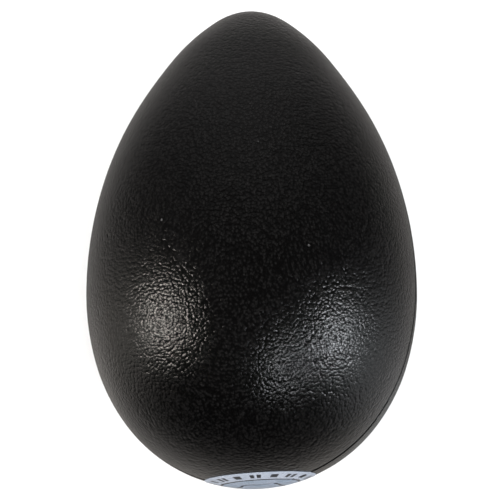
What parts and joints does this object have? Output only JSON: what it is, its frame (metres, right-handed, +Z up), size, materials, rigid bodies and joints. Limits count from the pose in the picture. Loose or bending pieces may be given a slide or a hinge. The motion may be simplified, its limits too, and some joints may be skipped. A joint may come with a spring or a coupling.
{
  "type": "egg shaker",
  "caption": "Egg-shaped hand shaker of black plastic: shells cemented along a lengthwise seam, a round label on the broad end and loose steel shot sealed inside.",
  "frame": {"origin": "the floor under the middle of the egg's box, as it lies on its side at rest", "axes": "+Z up, +Y to the narrow tip, +X to the right seen from the broad end"},
  "size_m": [0.082, 0.121, 0.0828],
  "materials": {
    "shell_plastic": "near-black satin plastic with a fine pebbled mould grain",
    "cement": "dull set solvent cement",
    "label_print": "pale blue-grey printed vinyl label with plain rings, lightly glossy",
    "shot_steel": "bright steel balls, lightly scuffed"
  },
  "bodies": {
    "egg": {"upper_shell": "shell_plastic", "lower_shell": "shell_plastic", "seam_cement": "cement", "label": "label_print"},
    "shot_row_01": {"shot_row_01": "shot_steel"},
    "shot_row_02": {"shot_row_02": "shot_steel"},
    "shot_row_03": {"shot_row_03": "shot_steel"},
    "shot_row_04": {"shot_row_04": "shot_steel"},
    "shot_row_05": {"shot_row_05": "shot_steel"},
    "shot_row_06": {"shot_row_06": "shot_steel"},
    "shot_row_07": {"shot_row_07": "shot_steel"},
    "shot_row_08": {"shot_row_08": "shot_steel"},
    "shot_row_09": {"shot_row_09": "shot_steel"},
    "shot_row_10": {"shot_row_10": "shot_steel"},
    "shot_row_11": {"shot_row_11": "shot_steel"},
    "shot_row_12": {"shot_row_12": "shot_steel"},
    "shot_row_13": {"shot_row_13": "shot_steel"},
    "shot_top_left_03": {"shot_top_left_03": "shot_steel"},
    "shot_top_left_04": {"shot_top_left_04": "shot_steel"},
    "shot_top_left_05": {"shot_top_left_05": "shot_steel"},
    "shot_top_left_06": {"shot_top_left_06": "shot_steel"},
    "shot_top_left_07": {"shot_top_left_07": "shot_steel"},
    "shot_top_left_08": {"shot_top_left_08": "shot_steel"},
    "shot_top_left_09": {"shot_top_left_09": "shot_steel"},
    "shot_top_left_10": {"shot_top_left_10": "shot_steel"},
    "shot_top_left_11": {"shot_top_left_11": "shot_steel"},
    "shot_top_right_03": {"shot_top_right_03": "shot_steel"},
    "shot_top_right_04": {"shot_top_right_04": "shot_steel"},
    "shot_top_right_05": {"shot_top_right_05": "shot_steel"},
    "shot_top_right_06": {"shot_top_right_06": "shot_steel"},
    "shot_top_right_07": {"shot_top_right_07": "shot_steel"},
    "shot_top_right_08": {"shot_top_right_08": "shot_steel"},
    "shot_top_right_09": {"shot_top_right_09": "shot_steel"},
    "shot_top_right_10": {"shot_top_right_10": "shot_steel"},
    "shot_top_right_11": {"shot_top_right_11": "shot_steel"}
  },
  "joints": [
    {"name": "row_01_roll", "type": "hinge", "parent": "egg", "child": "shot_row_01", "pos_m": [0, -0.02688, 0.04364], "axis": [0, 0.9903, -0.1392], "continuous": true},
    {"name": "row_02_roll", "type": "hinge", "parent": "egg", "child": "shot_row_02", "pos_m": [0, -0.02229, 0.04299], "axis": [0, 0.9903, -0.1392], "continuous": true},
    {"name": "row_03_roll", "type": "hinge", "parent": "egg", "child": "shot_row_03", "pos_m": [0, -0.0177, 0.04235], "axis": [0, 0.9903, -0.1392], "continuous": true},
    {"name": "row_04_roll", "type": "hinge", "parent": "egg", "child": "shot_row_04", "pos_m": [0, -0.01311, 0.0417], "axis": [0, 0.9903, -0.1392], "continuous": true},
    {"name": "row_05_roll", "type": "hinge", "parent": "egg", "child": "shot_row_05", "pos_m": [0, -0.00852, 0.04106], "axis": [0, 0.9903, -0.1392], "continuous": true},
    {"name": "row_06_roll", "type": "hinge", "parent": "egg", "child": "shot_row_06", "pos_m": [0, -0.00393, 0.04041], "axis": [0, 0.9903, -0.1392], "continuous": true},
    {"name": "row_07_roll", "type": "hinge", "parent": "egg", "child": "shot_row_07", "pos_m": [0, 0.00066, 0.03977], "axis": [0, 0.9903, -0.1392], "continuous": true},
    {"name": "row_08_roll", "type": "hinge", "parent": "egg", "child": "shot_row_08", "pos_m": [0, 0.00525, 0.03912], "axis": [0, 0.9903, -0.1392], "continuous": true},
    {"name": "row_09_roll", "type": "hinge", "parent": "egg", "child": "shot_row_09", "pos_m": [0, 0.00984, 0.03848], "axis": [0, 0.9903, -0.1392], "continuous": true},
    {"name": "row_10_roll", "type": "hinge", "parent": "egg", "child": "shot_row_10", "pos_m": [0, 0.01443, 0.03783], "axis": [0, 0.9903, -0.1392], "continuous": true},
    {"name": "row_11_roll", "type": "hinge", "parent": "egg", "child": "shot_row_11", "pos_m": [0, 0.01902, 0.03719], "axis": [0, 0.9903, -0.1392], "continuous": true},
    {"name": "row_12_roll", "type": "hinge", "parent": "egg", "child": "shot_row_12", "pos_m": [0, 0.02361, 0.03654], "axis": [0, 0.9903, -0.1392], "continuous": true},
    {"name": "row_13_roll", "type": "hinge", "parent": "egg", "child": "shot_row_13", "pos_m": [0, 0.0282, 0.0359], "axis": [0, 0.9903, -0.1392], "continuous": true},
    {"name": "top_left_03_toss", "type": "slide", "parent": "shot_row_03", "child": "shot_top_left_03", "axis": [0, 0.1392, 0.9903], "range_m": [0, 0.0665]},
    {"name": "top_left_04_toss", "type": "slide", "parent": "shot_row_04", "child": "shot_top_left_04", "axis": [0, 0.1392, 0.9903], "range_m": [0, 0.0659]},
    {"name": "top_left_05_toss", "type": "slide", "parent": "shot_row_05", "child": "shot_top_left_05", "axis": [0, 0.1392, 0.9903], "range_m": [0, 0.0643]},
    {"name": "top_left_06_toss", "type": "slide", "parent": "shot_row_06", "child": "shot_top_left_06", "axis": [0, 0.1392, 0.9903], "range_m": [0, 0.0652]},
    {"name": "top_left_07_toss", "type": "slide", "parent": "shot_row_07", "child": "shot_top_left_07", "axis": [0, 0.1392, 0.9903], "range_m": [0, 0.0626]},
    {"name": "top_left_08_toss", "type": "slide", "parent": "shot_row_08", "child": "shot_top_left_08", "axis": [0, 0.1392, 0.9903], "range_m": [0, 0.0625]},
    {"name": "top_left_09_toss", "type": "slide", "parent": "shot_row_09", "child": "shot_top_left_09", "axis": [0, 0.1392, 0.9903], "range_m": [0, 0.0588]},
    {"name": "top_left_10_toss", "type": "slide", "parent": "shot_row_10", "child": "shot_top_left_10", "axis": [0, 0.1392, 0.9903], "range_m": [0, 0.0577]},
    {"name": "top_left_11_toss", "type": "slide", "parent": "shot_row_11", "child": "shot_top_left_11", "axis": [0, 0.1392, 0.9903], "range_m": [0, 0.0574]},
    {"name": "top_right_03_toss", "type": "slide", "parent": "shot_row_03", "child": "shot_top_right_03", "axis": [0, 0.1392, 0.9903], "range_m": [0, 0.0665]},
    {"name": "top_right_04_toss", "type": "slide", "parent": "shot_row_04", "child": "shot_top_right_04", "axis": [0, 0.1392, 0.9903], "range_m": [0, 0.0659]},
    {"name": "top_right_05_toss", "type": "slide", "parent": "shot_row_05", "child": "shot_top_right_05", "axis": [0, 0.1392, 0.9903], "range_m": [0, 0.0643]},
    {"name": "top_right_06_toss", "type": "slide", "parent": "shot_row_06", "child": "shot_top_right_06", "axis": [0, 0.1392, 0.9903], "range_m": [0, 0.0652]},
    {"name": "top_right_07_toss", "type": "slide", "parent": "shot_row_07", "child": "shot_top_right_07", "axis": [0, 0.1392, 0.9903], "range_m": [0, 0.0626]},
    {"name": "top_right_08_toss", "type": "slide", "parent": "shot_row_08", "child": "shot_top_right_08", "axis": [0, 0.1392, 0.9903], "range_m": [0, 0.0625]},
    {"name": "top_right_09_toss", "type": "slide", "parent": "shot_row_09", "child": "shot_top_right_09", "axis": [0, 0.1392, 0.9903], "range_m": [0, 0.0588]},
    {"name": "top_right_10_toss", "type": "slide", "parent": "shot_row_10", "child": "shot_top_right_10", "axis": [0, 0.1392, 0.9903], "range_m": [0, 0.0577]},
    {"name": "top_right_11_toss", "type": "slide", "parent": "shot_row_11", "child": "shot_top_right_11", "axis": [0, 0.1392, 0.9903], "range_m": [0, 0.0574]}
  ]
}
